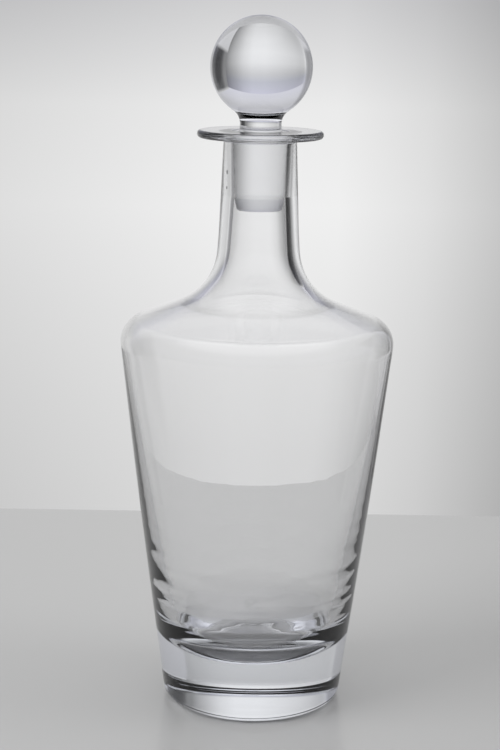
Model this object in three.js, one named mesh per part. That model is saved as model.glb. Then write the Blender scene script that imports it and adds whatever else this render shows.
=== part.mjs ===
// Whisky decanter with a ball stopper, in clear hand-made glass.
// Millimetres, +Z up. The origin is the centre of the flat underside, on the axis.
// It is two pieces of glass: the decanter body, blown in one with its neck and drawn-out
// disc rim, and the solid stopper, whose ground plug sits in the ground socket of the neck.
import * as THREE from "three";

// Body, outside. Wall, shoulder and neck are straight lines rounded where they meet.
const footRadius = 37.4;          // where the wall line meets the table
const footRound = 4.7;            // soft edge round the flat underside
const wallSwell = 0.7;            // halfway up, the wall stands this far out of a straight line
const swellRound = 4000;          // and turns there in one long arc
const shoulderRadius = 57.5;      // where the wall and shoulder lines meet
const shoulderHeight = 161.1;
const shoulderRound = 10.3;
const neckRootRadius = 18.2;      // where the shoulder and neck lines meet
const neckRise = 15.6;            // of that corner above the shoulder corner
const neckSweep = 24.8;           // hollow curve from shoulder to neck
const neckLength = 61.7;          // neck root to the underside of the rim
const neckMidRadius = 16.5;       // the neck draws in fast to here, then slowly
const neckMidRise = 22.2;         // above the neck's root
const neckMidRound = 220;
const neckTopRadius = 14.9;

// Disc rim at the mouth
const rimRadius = 25.8;
const rimThickness = 3.1;
const rimEdgeRound = 1.45;        // fire-polished, almost half round
const rimFillet = 1.8;            // where the rim is fused to the neck

// Walls and base, inside. The side wall is thick low down and thin at the shoulder.
const baseThickness = 22.5;       // solid glass under the cavity
const cavityRound = 22;           // between the cavity's floor and its wall
const wallAtFoot = 10.4;          // all three are square to the straight outer wall line
const wallAtBend = 2.6;           // from here up the inner wall almost follows the outer one
const wallAtShoulder = 2;
const bendPlace = 0.62;           // share of the way from foot to shoulder
const bendRound = 1500;
const cavityShoulderRound = 8.5;
const shoulderWall = 2.1;         // at the outer end of the shoulder
const neckRootWall = 3.4;         // the shoulder's wall where it runs into the neck
const neckWall = 5.2;
const cavitySweep = 28.5;

// Ground joint between neck and stopper
const socketDepth = 26.8;         // from the rim's top down to where the grinding ends
const socketEndRadius = 10.3;
const groundTaper = 0.05;         // growth of radius per millimetre of height, 1 in 10 on diameter
const socketMouthRound = 0.7;
const seatGap = 0.3;              // between the plug and the socket

// Stopper
const plugSink = 1.2;             // the plug's top edge lies this far under the rim's top
const plugTopRound = 0.5;
const plugTipLength = 5.4;        // of the plug that hangs below the socket
const plugTipRadius = 9.15;
const plugTipRound = 1.3;
const waistRadius = 8.5;
const waistFlare = 2.1;           // hollow fillet from the plug's top up into the waist
const waistLength = 1.9;          // straight part of the waist
const ballRadius = 20.75;
const ballFillet = 6;             // hollow fillet from the waist into the ball

// Facets
const facetsAround = 60;
const arcError = 0.1;             // greatest distance from a true arc to its chords

const clearGlass = { color: 0xe6e9f0, roughness: 0.03, metalness: 0, transparent: true, opacity: 0.35 };

const at = (radius, height, round = 0) => ({ point: new THREE.Vector2(radius, height), round });

// Points on an arc about a centre, from one angle to another, both ends included.
function arcPoints(centre, radius, from, to) {
  const widestStep = 2 * Math.acos(1 - Math.min(arcError / radius, 0.5));
  const steps = Math.max(1, Math.ceil(Math.abs(to - from) / widestStep));
  return Array.from({ length: steps + 1 }, (_, i) => {
    const angle = from + ((to - from) * i) / steps;
    return new THREE.Vector2(centre.x + radius * Math.cos(angle), centre.y + radius * Math.sin(angle));
  });
}

// An outline of straight lines through the corners, each rounded by its own radius.
// Where two roundings would meet on the line between them, both give way in proportion.
function outlineThrough(corners) {
  const bends = corners.map(({ point, round }, i) => {
    if (round === 0) return { point, reach: 0 };
    const back = corners[i - 1].point.clone().sub(point).normalize();
    const ahead = corners[i + 1].point.clone().sub(point).normalize();
    const halfAngle = Math.acos(THREE.MathUtils.clamp(back.dot(ahead), -1, 1)) / 2;
    return { point, back, ahead, halfAngle, reach: round / Math.tan(halfAngle) };
  });
  const roomShare = (a, b) => Math.min(1, (0.998 * a.point.distanceTo(b.point)) / (a.reach + b.reach));
  return bends.flatMap((bend, i) => {
    if (bend.reach === 0) return [bend.point];
    const { point, back, ahead, halfAngle } = bend;
    const reach = bend.reach * Math.min(roomShare(bends[i - 1], bend), roomShare(bend, bends[i + 1]));
    const radius = reach * Math.tan(halfAngle);
    const towardsCentre = back.clone().add(ahead).normalize();
    const centre = point.clone().addScaledVector(towardsCentre, radius / Math.sin(halfAngle));
    const start = point.clone().addScaledVector(back, reach).sub(centre).angle();
    const end = point.clone().addScaledVector(ahead, reach).sub(centre).angle();
    const turn = THREE.MathUtils.euclideanModulo(end - start + Math.PI, 2 * Math.PI) - Math.PI;
    return arcPoints(centre, radius, start, start + turn);
  });
}

// A point some share of the way from start to end, then a distance to the left of that line.
function beside(start, end, share, distance) {
  const along = end.clone().sub(start).normalize();
  return start.clone().lerp(end, share).add(new THREE.Vector2(-along.y, along.x).multiplyScalar(distance));
}

// The point where line ab meets line cd.
function crossing(a, b, c, d) {
  const ab = b.clone().sub(a);
  const cd = d.clone().sub(c);
  return a.clone().addScaledVector(ab, c.clone().sub(a).cross(cd) / ab.cross(cd));
}

// A solid of revolution about +Z from an outline that starts and ends on the axis.
function turnedGlass(name, outline) {
  const geometry = new THREE.LatheGeometry(outline, facetsAround).rotateX(Math.PI / 2);
  const mesh = new THREE.Mesh(geometry, new THREE.MeshStandardMaterial(clearGlass));
  mesh.name = name;
  return mesh;
}

// Heights that the two pieces share
const neckRootHeight = shoulderHeight + neckRise;
const rimUnderside = neckRootHeight + neckLength;
const rimTop = rimUnderside + rimThickness;
const socketEnd = rimTop - socketDepth;

const socketRadiusAt = (height) => socketEndRadius + groundTaper * (height - socketEnd);

function decanterBody() {
  const foot = new THREE.Vector2(footRadius, 0);
  const shoulder = new THREE.Vector2(shoulderRadius, shoulderHeight);
  const neckRoot = new THREE.Vector2(neckRootRadius, neckRootHeight);
  const neckMid = new THREE.Vector2(neckMidRadius, neckRootHeight + neckMidRise);

  const wallMiddle = beside(foot, shoulder, 0.5, -wallSwell);

  // Inside, to the left of the outside lines by the thickness of the glass.
  const innerFoot = beside(foot, shoulder, 0, wallAtFoot);
  const innerBend = beside(foot, shoulder, bendPlace, wallAtBend);
  const innerWallEnd = beside(foot, shoulder, 1, wallAtShoulder);
  const innerShoulder = beside(shoulder, neckRoot, 0, shoulderWall);
  const innerShoulderEnd = beside(shoulder, neckRoot, 1, neckRootWall);
  const innerNeck = beside(neckRoot, neckMid, 0, neckWall);
  const boreMid = beside(neckRoot, neckMid, 1, neckWall);

  const floorMiddle = new THREE.Vector2(0, baseThickness);
  const floorEdge = new THREE.Vector2(footRadius, baseThickness);
  const cavityFoot = crossing(floorMiddle, floorEdge, innerFoot, innerBend);
  const cavityShoulder = crossing(innerBend, innerWallEnd, innerShoulder, innerShoulderEnd);
  const cavityNeck = crossing(innerShoulder, innerShoulderEnd, innerNeck, boreMid);

  const outline = outlineThrough([
    at(0, 0),
    at(footRadius, 0, footRound),
    at(wallMiddle.x, wallMiddle.y, swellRound),
    at(shoulderRadius, shoulderHeight, shoulderRound),
    at(neckRootRadius, neckRootHeight, neckSweep),
    at(neckMid.x, neckMid.y, neckMidRound),
    at(neckTopRadius, rimUnderside, rimFillet),
    at(rimRadius, rimUnderside, rimEdgeRound),
    at(rimRadius, rimTop, rimEdgeRound),
    at(socketRadiusAt(rimTop), rimTop, socketMouthRound),
    at(socketEndRadius, socketEnd),
    at(boreMid.x, boreMid.y, neckMidRound),
    at(cavityNeck.x, cavityNeck.y, cavitySweep),
    at(cavityShoulder.x, cavityShoulder.y, cavityShoulderRound),
    at(innerBend.x, innerBend.y, bendRound),
    at(cavityFoot.x, cavityFoot.y, cavityRound),
    at(0, baseThickness),
  ]);
  return turnedGlass("decanter_body", outline);
}

function stopper() {
  const plugRadiusAt = (height) => socketRadiusAt(height) - seatGap;
  const plugTop = rimTop - plugSink;
  const plugEnd = socketEnd - plugTipLength;
  const waistTop = plugTop + waistFlare + waistLength;

  // The fillet touches the waist's side and the ball, so its centre is set by both radii.
  const filletCentre = new THREE.Vector2(waistRadius + ballFillet, waistTop);
  const ballRise = Math.sqrt((ballRadius + ballFillet) ** 2 - filletCentre.x ** 2);
  const ballCentre = new THREE.Vector2(0, waistTop + ballRise);
  const contactAngle = Math.atan2(-ballRise, filletCentre.x);

  const plugAndWaist = outlineThrough([
    at(0, plugEnd),
    at(plugTipRadius, plugEnd, plugTipRound),
    at(plugRadiusAt(socketEnd), socketEnd),
    at(plugRadiusAt(plugTop), plugTop, plugTopRound),
    at(waistRadius, plugTop, waistFlare),
    at(waistRadius, waistTop),
  ]);
  const fillet = arcPoints(filletCentre, ballFillet, Math.PI, contactAngle + Math.PI);
  const ball = arcPoints(ballCentre, ballRadius, contactAngle, Math.PI / 2);
  ball[ball.length - 1].x = 0;
  return turnedGlass("stopper", [...plugAndWaist, ...fillet.slice(1), ...ball.slice(1)]);
}

const decanter = new THREE.Group();
decanter.name = "whisky_decanter";
decanter.add(decanterBody(), stopper());

export default decanter;
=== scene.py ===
# Looks of the whisky decanter: clear hand-made glass with a lift-out ball stopper.
# Each piece is drawn as half its section, corner by corner, and spun about its axis.
import bpy
import bmesh
import math
from mathutils import Matrix, Vector


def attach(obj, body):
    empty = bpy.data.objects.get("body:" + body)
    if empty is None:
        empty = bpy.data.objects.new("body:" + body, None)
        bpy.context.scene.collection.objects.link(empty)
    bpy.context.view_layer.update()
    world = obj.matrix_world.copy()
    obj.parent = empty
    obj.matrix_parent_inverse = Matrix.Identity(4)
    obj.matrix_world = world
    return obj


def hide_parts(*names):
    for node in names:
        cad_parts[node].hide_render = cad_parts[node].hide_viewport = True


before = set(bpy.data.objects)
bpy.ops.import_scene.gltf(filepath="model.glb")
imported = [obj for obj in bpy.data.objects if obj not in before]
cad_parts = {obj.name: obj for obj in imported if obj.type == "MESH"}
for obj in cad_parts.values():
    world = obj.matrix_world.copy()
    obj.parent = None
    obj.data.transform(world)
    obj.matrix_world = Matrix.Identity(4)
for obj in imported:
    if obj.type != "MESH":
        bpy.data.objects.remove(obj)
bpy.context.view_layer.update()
print("frame loaded:", sorted(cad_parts))

mm = 0.001

# Camera, at the place and tilt from which the decanter is seen
camera = {
    "place": (-0.00267, -0.721, 0.2965),
    "lookDown": 0.214,             # radians below the level
    "roll": 0.0162,
    "lens": 84.72, "sensor": 36, "nearest": 0.01,
}


def addCamera(name, c):
    data = bpy.data.cameras.new(name)
    data.lens = c["lens"]
    data.sensor_width = c["sensor"]
    data.clip_start = c["nearest"]
    eye = bpy.data.objects.new(name, data)
    bpy.context.collection.objects.link(eye)
    tilt = Matrix.Rotation(math.pi / 2 - c["lookDown"], 4, "X")
    roll = Matrix.Rotation(c["roll"], 4, "Z")
    eye.matrix_world = Matrix.Translation(c["place"]) @ tilt @ roll
    bpy.context.scene.camera = eye


addCamera("photoCamera", camera)
print("camera placed")

# Fineness of the drawn sections
drawing = {
    "turnStep": math.radians(4),   # of a curve, from one point to the next
    "longStep": 7 * mm,            # of a nearly straight curve
    "shortest": 0.0001 * mm,       # a straight stretch under this length is left out
    "heldEnd": 0.35 * mm,          # a straight stretch gets a point this close to each end
    "heldShare": 0.25,             # where that is less than this share of its length
    "roomShare": 0.998,            # of the line between two corners, for their roundings
    "stepsAround": 256,
    "mergeWithin": 0.002 * mm,
}


def startSection(name, height):
    bpy.ops.object.select_all(action="DESELECT")
    bpy.ops.mesh.primitive_plane_add(size=1 * mm, location=(0, 0, 0))
    piece = bpy.context.object
    piece.name = piece.data.name = name
    bpy.ops.object.mode_set(mode="EDIT")
    bpy.ops.mesh.select_all(action="SELECT")
    bpy.ops.mesh.merge(type="CENTER")
    bpy.ops.transform.translate(value=(0, 0, height))
    return piece


def drawStraight(pen, target):
    length = (target - pen).length
    if length < drawing["shortest"]:
        return target
    held = drawing["heldEnd"] / length
    stops = [held, 1 - held, 1] if held < drawing["heldShare"] else [1]
    here = pen
    for stop in stops:
        there = pen.lerp(target, stop)
        step = (there.x - here.x, 0, there.y - here.y)
        bpy.ops.mesh.extrude_region_move(TRANSFORM_OT_translate={"value": step})
        here = there
    return target


def drawCurve(pen, centre, turn):
    length = abs(turn) * (pen - centre).length
    steps = max(2, math.ceil(abs(turn) / drawing["turnStep"]),
                math.ceil(length / drawing["longStep"]))
    bpy.ops.mesh.spin(steps=steps, angle=turn, center=(centre.x, 0, centre.y), axis=(0, 1, 0))
    return centre + Matrix.Rotation(turn, 2) @ (pen - centre)


# Corners are (radius, height, rounding), and the pen starts at the first of them.
# Where two roundings would meet, both give way.
def drawThrough(corners):
    bends = []
    for i, (radius, height, rounding) in enumerate(corners):
        bend = {"point": Vector((radius, height)), "reach": 0}
        if rounding > 0:
            bend["back"] = (Vector(corners[i - 1][:2]) - bend["point"]).normalized()
            bend["ahead"] = (Vector(corners[i + 1][:2]) - bend["point"]).normalized()
            bend["half"] = bend["back"].angle(bend["ahead"]) / 2
            bend["reach"] = rounding / math.tan(bend["half"])
        bends.append(bend)

    def room(first, second):
        taken = first["reach"] + second["reach"]
        return min(1, drawing["roomShare"] * (first["point"] - second["point"]).length / taken)

    pen = bends[0]["point"]
    for i, bend in enumerate(bends):
        point = bend["point"]
        if bend["reach"] == 0:
            pen = drawStraight(pen, point)
            continue
        reach = bend["reach"] * min(room(bends[i - 1], bend), room(bend, bends[i + 1]))
        depth = reach / math.cos(bend["half"])
        centre = point + (bend["back"] + bend["ahead"]).normalized() * depth
        start = point + bend["back"] * reach
        end = point + bend["ahead"] * reach
        pen = drawStraight(pen, start)
        pen = drawCurve(pen, centre, -(start - centre).angle_signed(end - centre))
    return pen


# The half section, an open line from axis to axis, is spun into a closed solid.
def spinSection(piece):
    bpy.ops.mesh.select_mode(type="VERT")
    bpy.ops.mesh.select_all(action="SELECT")
    bpy.ops.mesh.spin(steps=drawing["stepsAround"], angle=2 * math.pi,
                      center=(0, 0, 0), axis=(0, 0, 1))
    bpy.ops.mesh.select_all(action="SELECT")
    bpy.ops.mesh.remove_doubles(threshold=drawing["mergeWithin"])
    bpy.ops.mesh.normals_make_consistent(inside=False)
    bpy.ops.object.mode_set(mode="OBJECT")
    bpy.ops.object.shade_smooth()
    return piece


def grey(tone):
    return (tone, tone, tone, 1)


def newMaterial(name):
    material = bpy.data.materials.new(name)
    material.use_nodes = True
    return material


# A shader node with its inputs set: numbers are written in, sockets are linked
def addNode(tree, kind, inputs, output=0, **settings):
    node = tree.nodes.new(kind)
    for key, value in settings.items():
        setattr(node, key, value)
    for key, value in inputs.items():
        if isinstance(value, bpy.types.NodeSocket):
            tree.links.new(value, node.inputs[key])
        else:
            node.inputs[key].default_value = value
    return node.outputs[output]


def addMath(tree, operation, *values):
    return addNode(tree, "ShaderNodeMath", dict(enumerate(values)), operation=operation)


def addSlope(tree, value, low, high, start=0, end=1):
    inputs = {"Value": value, "From Min": low, "From Max": high, "To Min": start, "To Max": end}
    return addNode(tree, "ShaderNodeMapRange", inputs)


# Noise on the place in the object
def addNoise(tree, place, scale, detail):
    return addNode(tree, "ShaderNodeTexNoise", {"Vector": place, "Scale": scale, "Detail": detail})


def addBump(tree, height, strength, distance, **normal):
    inputs = {"Height": height, "Strength": strength, "Distance": distance, **normal}
    return addNode(tree, "ShaderNodeBump", inputs)


# Glass of both pieces: clear and faintly cool, with slight waves, and ground where they meet.
# The smears' noise turns into roughness, the grain's into a share of the ground zone's roughness.
glass = {
    "ior": 1.52,
    "tint": (0.70, 0.80, 1.0), "tintDensity": 2.5,
    "smearScale": 60, "smearDetail": 3, "smearNoise": (0.35, 0.7), "smearRoughness": (0.0, 0.015),
    "waveScale": 45, "waveDetail": 1, "waveStrength": 0.02, "waveDepth": 0.2 * mm,
    "grainScale": 2600, "grainDetail": 2, "grainNoise": (0.3, 0.7), "grainShare": (0.85, 1.15),
    "ringScale": 900, "ringDistortion": 3, "ringShare": 0.3,
    "groundStrength": 0.2, "groundDepth": 0.03 * mm,
    "zoneEdge": 0.25 * mm,
}


# Glass with one ground zone on it
def makeGlass(name, zone, g):
    material = newMaterial(name)
    tree = material.node_tree
    surface = tree.nodes["Principled BSDF"]
    surface.inputs["Transmission Weight"].default_value = 1
    surface.inputs["IOR"].default_value = g["ior"]
    surface.inputs["Base Color"].default_value = grey(1)
    absorption = addNode(tree, "ShaderNodeVolumeAbsorption",
                         {"Color": (*g["tint"], 1), "Density": g["tintDensity"]})
    tree.links.new(absorption, tree.nodes["Material Output"].inputs["Volume"])

    place = addNode(tree, "ShaderNodeTexCoord", {}, output="Object")
    x, y, z = addNode(tree, "ShaderNodeSeparateXYZ", {"Vector": place}).node.outputs
    squares = addMath(tree, "ADD", addMath(tree, "POWER", x, 2), addMath(tree, "POWER", y, 2))
    above = addSlope(tree, z, zone["lowest"], zone["lowest"] + g["zoneEdge"])
    below = addSlope(tree, z, zone["highest"], zone["highest"] - g["zoneEdge"])
    within = addMath(tree, "LESS_THAN", addMath(tree, "SQRT", squares), zone["widest"])
    ground = addMath(tree, "MULTIPLY", addMath(tree, "MULTIPLY", above, below), within)

    smears = addNoise(tree, place, g["smearScale"], g["smearDetail"])
    grain = addNoise(tree, place, g["grainScale"], g["grainDetail"])
    clearRoughness = addSlope(tree, smears, *g["smearNoise"], *g["smearRoughness"])
    coarseness = addSlope(tree, z, zone["jointFoot"] - g["zoneEdge"], zone["jointFoot"],
                          zone["freeRoughness"], zone["jointRoughness"])
    groundRoughness = addMath(tree, "MULTIPLY", coarseness,
                              addSlope(tree, grain, *g["grainNoise"], *g["grainShare"]))
    roughness = addNode(tree, "ShaderNodeMix", {0: ground, 2: clearRoughness, 3: groundRoughness})
    tree.links.new(roughness, surface.inputs["Roughness"])

    waves = addNoise(tree, place, g["waveScale"], g["waveDetail"])
    wavy = addBump(tree, waves, g["waveStrength"], g["waveDepth"])
    rings = addNode(tree, "ShaderNodeTexWave", {"Vector": place, "Scale": g["ringScale"],
                    "Distortion": g["ringDistortion"]}, bands_direction="Z")
    scratches = addMath(tree, "MULTIPLY_ADD", rings, g["ringShare"], grain)
    strength = addMath(tree, "MULTIPLY", ground, g["groundStrength"])
    ragged = addBump(tree, scratches, strength, g["groundDepth"], Normal=wavy)
    tree.links.new(ragged, surface.inputs["Normal"])
    return material


# A point some share of the way from start to end, then a distance to the left of that line
def beside(start, end, share, distance):
    along = (end - start).normalized()
    return start.lerp(end, share) + Vector((-along.y, along.x)) * distance


# The point where line ab meets line cd
def crossing(a, b, c, d):
    ab, cd = b - a, d - c
    return a + ab * ((c - a).cross(cd) / ab.cross(cd))


# Decanter body, with its neck and rim
body = {
    "footRadius": 37.4 * mm, "footRound": 4.7 * mm,
    "wallSwell": 0.7 * mm, "swellRound": 4,
    "shoulderRadius": 57.5 * mm, "shoulderHeight": 161.1 * mm, "shoulderRound": 10.3 * mm,
    "neckRootRadius": 18.2 * mm, "neckRise": 15.6 * mm, "neckSweep": 24.8 * mm,
    "neckMidRadius": 16.5 * mm, "neckMidRise": 22.2 * mm, "neckMidRound": 0.22,
    "neckTopRadius": 14.9 * mm, "neckLength": 61.7 * mm,
    "rimRadius": 25.8 * mm, "rimThickness": 3.1 * mm, "rimEdgeRound": 1.45 * mm,
    "rimFillet": 1.8 * mm,
    "baseThickness": 22.5 * mm, "cavityRound": 22 * mm,
    "wallAtFoot": 10.4 * mm, "wallAtBend": 2.6 * mm, "wallAtShoulder": 2 * mm,
    "bendPlace": 0.62, "bendRound": 1.5, "cavityShoulderRound": 8.5 * mm,
    "shoulderWall": 2.1 * mm, "neckRootWall": 3.4 * mm, "neckWall": 5.2 * mm,
    "cavitySweep": 28.5 * mm,
    "socketDepth": 26.8 * mm, "socketEndRadius": 10.3 * mm, "groundTaper": 0.05,
    "socketMouthRound": 0.7 * mm,
}

neckRootHeight = body["shoulderHeight"] + body["neckRise"]
rimUnderside = neckRootHeight + body["neckLength"]
rimTop = rimUnderside + body["rimThickness"]
socketEnd = rimTop - body["socketDepth"]


def socketRadiusAt(height):
    return body["socketEndRadius"] + body["groundTaper"] * (height - socketEnd)


# Ripples left in the inner wall by the blowing, strongest low down
ripple = {
    "low": 33 * mm, "full": 45 * mm, "fading": 52 * mm, "high": 98 * mm,
    "depth": 0.6 * mm, "across": 30 * mm, "upright": 6 * mm,
    "cloudDepth": 2, "cloudPlace": (0.0031, 0.0047, 0.0023),
    "leastWall": 1 * mm,           # inner wall is what lies this far inside the outer wall
    "rowHeight": 1.1 * mm,         # of the rows of faces that carry the ripples
    "cutAbove": 1.5,               # in row heights: longer edges are cut
    "likeLongest": 0.9,            # from this share of the longest on, edges are cut alike
}


def isInnerWall(place, r):
    slope = (body["shoulderRadius"] - body["footRadius"]) / body["shoulderHeight"]
    inside = body["footRadius"] + slope * place.z - r["leastWall"]
    return r["low"] < place.z < r["high"] and math.hypot(place.x, place.y) < inside


def cutInnerWallRows(piece, r):
    bpy.ops.mesh.select_mode(type="EDGE")
    while True:
        bpy.ops.mesh.select_all(action="DESELECT")
        tall = {}
        for edge in bmesh.from_edit_mesh(piece.data).edges:
            first, second = edge.verts
            length = edge.calc_length()
            isLong = length > r["cutAbove"] * r["rowHeight"]
            if isLong and isInnerWall((first.co + second.co) / 2, r):
                tall[edge] = length
        if not tall:
            return
        longest = max(tall.values())
        for edge, length in tall.items():
            if length > r["likeLongest"] * longest:
                edge.select_set(True)
        bmesh.update_edit_mesh(piece.data)
        bpy.ops.mesh.subdivide(number_cuts=max(1, round(longest / r["rowHeight"]) - 1))


def rippleInnerWall(piece, r):
    group = piece.vertex_groups.new(name="innerWall")
    for vertex in piece.data.vertices:
        height = vertex.co.z
        if isInnerWall(vertex.co, r):
            rise = min(1, (height - r["low"]) / (r["full"] - r["low"]))
            fall = min(1, (r["high"] - height) / (r["high"] - r["fading"]))
            group.add([vertex.index], rise * fall ** 2, "REPLACE")
    clouds = bpy.data.textures.new("rippleClouds", "CLOUDS")
    clouds.noise_scale = 1
    clouds.noise_basis = "IMPROVED_PERLIN"
    clouds.noise_depth = r["cloudDepth"]
    bpy.ops.object.empty_add(location=r["cloudPlace"])
    guide = bpy.context.object
    guide.scale = (r["across"], r["across"], r["upright"])
    bpy.context.view_layer.update()
    bpy.ops.object.select_all(action="DESELECT")
    bpy.context.view_layer.objects.active = piece
    piece.select_set(True)
    bpy.ops.object.modifier_add(type="DISPLACE")
    wave = piece.modifiers[-1]
    wave.texture = clouds
    wave.texture_coords = "OBJECT"
    wave.texture_coords_object = guide
    wave.strength = r["depth"]
    wave.mid_level = 0.5
    wave.vertex_group = group.name
    bpy.ops.object.modifier_apply(modifier=wave.name)
    bpy.data.objects.remove(guide)
    piece.vertex_groups.clear()


# Two air bubbles left in the neck's glass, drawn long with it: place and half sizes
seeds = {
    "segments": 16, "rings": 12,
    "bubbles": [
        {"place": (-12.25 * mm, -6.02 * mm, 225.0 * mm), "across": 0.42 * mm, "upright": 0.85 * mm},
        {"place": (-12.25 * mm, -6.02 * mm, 218.7 * mm), "across": 0.35 * mm, "upright": 0.6 * mm},
    ],
}


# The bubbles' faces look inwards, away from the glass.
def addSeeds(piece, s):
    bpy.ops.object.mode_set(mode="EDIT")
    bpy.ops.mesh.select_all(action="DESELECT")
    for seed in s["bubbles"]:
        half = (seed["across"], seed["across"], seed["upright"])
        bpy.ops.mesh.primitive_uv_sphere_add(segments=s["segments"], ring_count=s["rings"],
                                             radius=1, location=seed["place"], scale=half)
        bpy.ops.mesh.normals_make_consistent(inside=True)
        bpy.ops.mesh.select_all(action="DESELECT")
    bpy.ops.object.mode_set(mode="OBJECT")
    bpy.ops.object.shade_smooth()


def buildBody(b):
    foot = Vector((b["footRadius"], 0))
    shoulder = Vector((b["shoulderRadius"], b["shoulderHeight"]))
    neckRoot = Vector((b["neckRootRadius"], neckRootHeight))
    neckMid = Vector((b["neckMidRadius"], neckRootHeight + b["neckMidRise"]))
    wallMiddle = beside(foot, shoulder, 0.5, -b["wallSwell"])

    innerFoot = beside(foot, shoulder, 0, b["wallAtFoot"])
    innerBend = beside(foot, shoulder, b["bendPlace"], b["wallAtBend"])
    innerWallEnd = beside(foot, shoulder, 1, b["wallAtShoulder"])
    innerShoulder = beside(shoulder, neckRoot, 0, b["shoulderWall"])
    innerShoulderEnd = beside(shoulder, neckRoot, 1, b["neckRootWall"])
    innerNeck = beside(neckRoot, neckMid, 0, b["neckWall"])
    boreMid = beside(neckRoot, neckMid, 1, b["neckWall"])
    floorMiddle = Vector((0, b["baseThickness"]))
    floorEdge = Vector((b["footRadius"], b["baseThickness"]))
    cavityFoot = crossing(floorMiddle, floorEdge, innerFoot, innerBend)
    cavityShoulder = crossing(innerBend, innerWallEnd, innerShoulder, innerShoulderEnd)
    cavityNeck = crossing(innerShoulder, innerShoulderEnd, innerNeck, boreMid)

    piece = startSection("decanterBody", 0)
    drawThrough([
        (0, 0, 0),
        (*foot, b["footRound"]),
        (*wallMiddle, b["swellRound"]),
        (*shoulder, b["shoulderRound"]),
        (*neckRoot, b["neckSweep"]),
        (*neckMid, b["neckMidRound"]),
        (b["neckTopRadius"], rimUnderside, b["rimFillet"]),
        (b["rimRadius"], rimUnderside, b["rimEdgeRound"]),
        (b["rimRadius"], rimTop, b["rimEdgeRound"]),
        (socketRadiusAt(rimTop), rimTop, b["socketMouthRound"]),
        (b["socketEndRadius"], socketEnd, 0),
        (*boreMid, b["neckMidRound"]),
        (*cavityNeck, b["cavitySweep"]),
        (*cavityShoulder, b["cavityShoulderRound"]),
        (*innerBend, b["bendRound"]),
        (*cavityFoot, b["cavityRound"]),
        (*floorMiddle, 0),
    ])
    cutInnerWallRows(piece, ripple)
    spinSection(piece)
    rippleInnerWall(piece, ripple)
    addSeeds(piece, seeds)
    return piece


decanterBody = buildBody(body)
print("body spun:", len(decanterBody.data.polygons), "faces")

# Ball stopper: ground plug, hollow-curved waist and solid ball
stopper = {
    "seatGap": 0.08 * mm, "plugSink": 1.2 * mm, "plugTopRound": 0.5 * mm,
    "plugTipLength": 5.4 * mm, "plugTipRadius": 9.15 * mm, "plugTipRound": 1.3 * mm,
    "waistRadius": 8.5 * mm, "waistFlare": 2.1 * mm, "waistLength": 1.9 * mm,
    "ballRadius": 20.75 * mm, "ballFillet": 6 * mm,
}

plugTop = rimTop - stopper["plugSink"]
plugEnd = socketEnd - stopper["plugTipLength"]


def buildStopper(s):
    waistTop = plugTop + s["waistFlare"] + s["waistLength"]
    filletCentre = Vector((s["waistRadius"] + s["ballFillet"], waistTop))
    ballRise = math.sqrt((s["ballRadius"] + s["ballFillet"]) ** 2 - filletCentre.x ** 2)
    contact = math.atan2(ballRise, filletCentre.x)

    piece = startSection("ballStopper", plugEnd)
    pen = drawThrough([
        (0, plugEnd, 0),
        (s["plugTipRadius"], plugEnd, s["plugTipRound"]),
        (socketRadiusAt(socketEnd) - s["seatGap"], socketEnd, 0),
        (socketRadiusAt(plugTop) - s["seatGap"], plugTop, s["plugTopRound"]),
        (s["waistRadius"], plugTop, s["waistFlare"]),
        (s["waistRadius"], waistTop, 0),
    ])
    pen = drawCurve(pen, filletCentre, -contact)
    drawCurve(pen, Vector((0, waistTop + ballRise)), contact + math.pi / 2)
    return spinSection(piece)


ballStopper = buildStopper(stopper)
print("stopper spun:", len(ballStopper.data.polygons), "faces")

# Ground zones: jointRoughness holds from the joint's foot up, freeRoughness below it.
socketZone = {
    "lowest": socketEnd, "highest": rimTop - body["socketMouthRound"],
    "widest": body["neckTopRadius"] - 1.5 * mm,
    "jointFoot": socketEnd, "freeRoughness": 0.10, "jointRoughness": 0.10,
}
plugZone = {
    "lowest": 0, "highest": plugTop,
    "widest": body["neckTopRadius"],
    "jointFoot": socketEnd, "freeRoughness": 0.38, "jointRoughness": 0.19,
}
decanterBody.data.materials.append(makeGlass("bodyGlass", socketZone, glass))
ballStopper.data.materials.append(makeGlass("stopperGlass", plugZone, glass))
print("glass given")

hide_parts("decanter_body")
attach(decanterBody, "decanter")
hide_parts("stopper")
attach(ballStopper, "stopper")

# Pale table top. Its far edge, seen through the walls, draws the curved line across the body.
table = {
    "width": 24, "front": -14, "farEdge": 0.267, "sink": 0.15 * mm,
    "color": (0.49, 0.49, 0.49), "roughness": 0.22,
}


# A flat sheet, laid out along X and Y, turned about the origin and then moved into place
def addPlane(name, width, length, turns, middle):
    bpy.ops.object.select_all(action="DESELECT")
    bpy.ops.mesh.primitive_plane_add(size=1, location=(0, 0, 0))
    piece = bpy.context.object
    piece.name = piece.data.name = name
    bpy.ops.object.mode_set(mode="EDIT")
    bpy.ops.mesh.select_all(action="SELECT")
    bpy.ops.transform.resize(value=(width, length, 1))
    for axis, angle in turns:
        bpy.ops.transform.rotate(value=angle, orient_axis=axis, center_override=(0, 0, 0))
    bpy.ops.transform.translate(value=middle)
    bpy.ops.object.mode_set(mode="OBJECT")
    return piece


def buildTable(t):
    middle = (0, (t["farEdge"] + t["front"]) / 2, -t["sink"])
    piece = addPlane("paleTable", t["width"], t["farEdge"] - t["front"], [], middle)
    material = newMaterial("paleTableTop")
    surface = material.node_tree.nodes["Principled BSDF"]
    surface.inputs["Base Color"].default_value = (*t["color"], 1)
    surface.inputs["Roughness"].default_value = t["roughness"]
    piece.data.materials.append(material)


buildTable(table)

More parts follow.
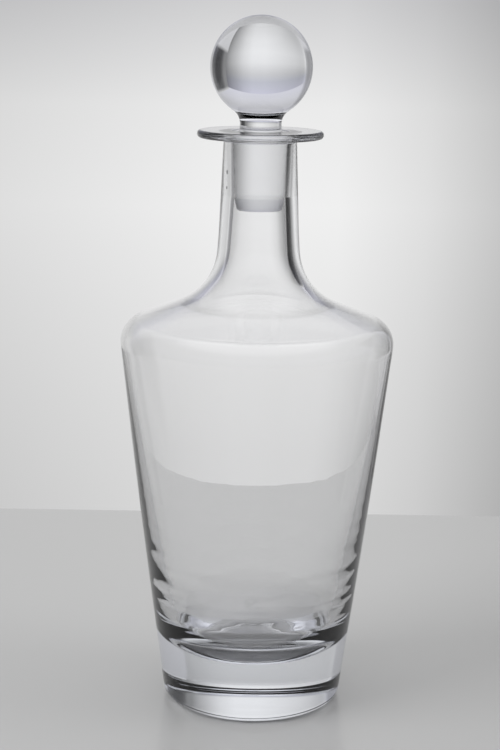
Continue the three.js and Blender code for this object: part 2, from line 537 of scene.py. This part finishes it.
# Backdrop: a sheet behind the table with a painted glow on it, a painted pool of light that is
# dimmer to the right. It glows though it is no lamp.
sheet = {
    "left": -0.55, "right": 0.30, "low": -0.30, "top": 0.43, "far": 0.50, "inTable": True,
    # tone at a height
    "upright": [(-0.30, 0.66), (-0.06, 0.71), (0.0, 0.75), (0.08, 0.81), (0.15, 0.87),
                (0.22, 0.83), (0.29, (0.63, 0.63, 0.64)), (0.34, (0.53, 0.54, 0.60)),
                (0.43, (0.60, 0.60, 0.70))],
    # and its share at a place across
    "across": [(-0.55, 0.88), (-0.50, 0.82), (-0.45, 0.71), (-0.36, 0.70), (-0.20, 0.82),
               (-0.02, 1.0), (0.06, 1.0), (0.12, 0.86), (0.18, 0.64), (0.25, 0.44), (0.30, 0.28)],
}

# Dark panel on the right, seen by glass alone: painted shade that stands in for the dark side of
# the room, and it draws the dark bands in the ball and neck.
# Its place is across, and it runs along from near to far.
panel = {
    "place": 0.45, "near": 0.17, "far": 0.75, "low": 0.02, "top": 0.54, "inTable": False,
    # tone at a place along it
    "along": [(0.17, 0.45), (0.23, 0.01), (0.40, 0.01), (0.52, 0.04), (0.58, 0.10),
              (0.64, 0.21), (0.75, 0.23)],
    "paleTone": 0.6, "lowFade": 0.05, "topFade": 0.05,    # it fades to pale low down and at its top
}

# The camera sees the backdrop as if all of it were the sheet with its painted glow, up to a height.
# Glass sees the room past the sheet, which is pale, and cooler high up, with painted shade
# darkening some directions to the sides and a painted reflection of a bright patch overhead; these
# light nothing.
room = {
    "light": 0.75,                 # on all that isn't glass
    "plain": 0.62,                 # tone of the backdrop away from straight ahead
    "facing": (0.75, 0.9),         # shares of straight ahead in a direction: the sheet fades in
    "leastAhead": 0.3,             # such a share that keeps the sheet's place finite
    "calm": 0.29,                  # above this height the backdrop has one tone
    # tone at the sine of a direction's angle above the level; the bright tone near the top is a
    # painted reflection of a bright patch overhead
    "upright": [(-1, (0.62, 0.62, 0.63)), (-0.1, (0.62, 0.62, 0.63)), (0.12, (0.54, 0.54, 0.57)),
                (0.3, (0.68, 0.68, 0.75)), (0.45, (0.66, 0.66, 0.70)), (0.6, (0.57, 0.57, 0.59)),
                (0.76, (0.52, 0.52, 0.56)), (0.86, (0.95, 0.95, 0.98)), (1, (0.95, 0.95, 0.98))],
    # its share in a direction, in degrees to the right of straight ahead: painted shade where it
    # falls below 1
    "paintedShadeAround": [(-180, 0.7), (-100, 0.45), (-75, 0.4), (-55, 0.45), (-46, 0.95), (20, 1),
               (40, 0.9), (98, 0.7), (180, 0.7)],
    "lowest": -0.40, "low": -0.30,  # sines between which these shares fade in
    "high": 0.6, "highest": 0.8,    # and out, below the pale part overhead
}


# Stops are (place, tone), and a tone is a colour or a grey.
def addRamp(tree, value, stops):
    first, last = stops[0][0], stops[-1][0]
    place = addSlope(tree, value, first, last)
    node = addNode(tree, "ShaderNodeValToRGB", {"Fac": place}).node
    elements = node.color_ramp.elements
    for i, (position, tone) in enumerate(stops):
        stop = elements[i] if i in (0, 1) else elements.new(1)
        stop.position = (position - first) / (last - first)
        stop.color = (*tone, 1) if isinstance(tone, tuple) else grey(tone)
    return node.outputs["Color"]


def addColorMix(tree, factor, first, second, kind="MIX"):
    inputs = {0: factor, 6: first, 7: second}
    return addNode(tree, "ShaderNodeMix", inputs, output=2, data_type="RGBA", blend_type=kind)


# Painted glow of the backdrop: a pool of light painted as tone, brightest near the middle, dimmer
# low down and towards the right
def addPaintedGlowTone(tree, x, z):
    upright, across = addRamp(tree, z, sheet["upright"]), addRamp(tree, x, sheet["across"])
    return addColorMix(tree, 1.0, upright, across, "MULTIPLY")


# Painted shade of the panel: dark along most of it, pale low down and at its top
def addPaintedShadeTone(tree, y, z):
    above = addSlope(tree, z, panel["low"], panel["low"] + panel["lowFade"])
    below = addSlope(tree, z, panel["top"], panel["top"] - panel["topFade"])
    return addColorMix(tree, addMath(tree, "MULTIPLY", above, below), grey(panel["paleTone"]),
                       addRamp(tree, y, panel["along"]))


# An upright, glowing screen that only glass sees, and only from its front: it carries the
# backdrop's painted glow and the panel's painted shade, and glows though it is no lamp. It is laid
# out with its width along X, and turned by quarter turns about Z. The table may reflect it.
def buildScreen(name, s, width, quarterTurns, middle, addTone):
    turns = [("X", -math.pi / 2), ("Z", quarterTurns * math.pi / 2)]
    piece = addPlane(name, width, s["top"] - s["low"], turns, (*middle, (s["low"] + s["top"]) / 2))
    piece.visible_camera = piece.visible_diffuse = piece.visible_shadow = False
    piece.visible_glossy = s["inTable"]
    material = newMaterial(name)
    tree = material.node_tree
    tree.nodes.remove(tree.nodes["Principled BSDF"])
    place = addNode(tree, "ShaderNodeTexCoord", {}, output="Object")
    parts = addNode(tree, "ShaderNodeSeparateXYZ", {"Vector": place}).node.outputs
    front = addNode(tree, "ShaderNodeEmission", {"Color": addTone(tree, *parts)})
    back = addNode(tree, "ShaderNodeBsdfTransparent", {})
    isBack = addNode(tree, "ShaderNodeNewGeometry", {}, output="Backfacing")
    oneSided = addNode(tree, "ShaderNodeMixShader", {0: isBack, 1: front, 2: back})
    tree.links.new(oneSided, tree.nodes["Material Output"].inputs["Surface"])
    piece.data.materials.append(material)


def buildRoom(r):
    world = bpy.data.worlds.new("paleRoom")
    bpy.context.scene.world = world
    world.use_nodes = True
    tree = world.node_tree
    tree.nodes.remove(tree.nodes["Background"])
    direction = addNode(tree, "ShaderNodeTexCoord", {}, output="Generated")
    x, y, z = addNode(tree, "ShaderNodeSeparateXYZ", {"Vector": direction}).node.outputs

    # What the camera sees: straight ahead the sheet with its painted glow, elsewhere a plain tone
    eyeBack, eyeHeight = camera["place"][1:]
    distance = sheet["far"] - eyeBack
    ahead = addMath(tree, "DIVIDE", distance, addMath(tree, "MAXIMUM", y, r["leastAhead"]))
    height = addMath(tree, "MULTIPLY_ADD", z, ahead, eyeHeight)
    paintedGlowTone = addPaintedGlowTone(tree, addMath(tree, "MULTIPLY", x, ahead),
                             addMath(tree, "MINIMUM", height, r["calm"]))
    backdropWithPaintedGlow = addColorMix(tree, addSlope(tree, y, *r["facing"]), grey(r["plain"]), paintedGlowTone)

    # What glass sees past the sheet: painted shade to the sides and a painted reflection overhead,
    # which light nothing
    turn = addMath(tree, "MULTIPLY", addMath(tree, "ARCTAN2", x, y), 180 / math.pi)
    share = addColorMix(tree, addSlope(tree, z, r["lowest"], r["low"]), grey(1),
                        addRamp(tree, turn, r["paintedShadeAround"]))
    share = addColorMix(tree, addSlope(tree, z, r["high"], r["highest"]), share, grey(1))
    paintedShadeAndReflection = addColorMix(tree, 1.0, addRamp(tree, z, r["upright"]), share, "MULTIPLY")

    path = addNode(tree, "ShaderNodeLightPath", {}).node.outputs
    inGlass = addMath(tree, "MAXIMUM", path["Is Glossy Ray"], path["Is Transmission Ray"])
    light = addColorMix(tree, inGlass, grey(r["light"]), paintedShadeAndReflection)
    color = addColorMix(tree, path["Is Camera Ray"], light, backdropWithPaintedGlow)
    background = addNode(tree, "ShaderNodeBackground", {"Color": color})
    tree.links.new(background, tree.nodes["World Output"].inputs["Surface"])


# The backdrop's painted glow, seen by glass alone; it lights nothing
buildScreen("paintedGlowSheet", sheet, sheet["right"] - sheet["left"], 0,
            ((sheet["left"] + sheet["right"]) / 2, sheet["far"]),
            lambda tree, x, y, z: addPaintedGlowTone(tree, x, z))
# Painted shade for the dark side of the room, seen by glass alone; it lights nothing
buildScreen("paintedShadePanel", panel, panel["far"] - panel["near"], 1,
            (panel["place"], (panel["near"] + panel["far"]) / 2),
            lambda tree, x, y, z: addPaintedShadeTone(tree, y, z))
buildRoom(room)

# Soft boxes: place, size and watts, each turned towards the middle of the decanter
softBoxes = {
    "aim": (0, 0, 0.12),
    "boxes": [
        {"name": "leftBox", "place": (-1.3, -0.7, 1.5), "size": 1.1, "watts": 14},
        {"name": "rightBox", "place": (1.5, -0.2, 1.2), "size": 0.8, "watts": 5},
    ],
}


def addSoftBox(box, aim):
    data = bpy.data.lights.new(box["name"], "AREA")
    data.size = box["size"]
    data.energy = box["watts"]
    lamp = bpy.data.objects.new(box["name"], data)
    bpy.context.collection.objects.link(lamp)
    lamp.visible_glossy = False
    lamp.visible_transmission = False
    turn = (Vector(aim) - Vector(box["place"])).to_track_quat("-Z", "Y").to_matrix().to_4x4()
    lamp.matrix_world = Matrix.Translation(box["place"]) @ turn


for box in softBoxes["boxes"]:
    addSoftBox(box, softBoxes["aim"])
print("table, backdrop and soft boxes set")

bpy.context.scene.view_settings.view_transform = "Standard"
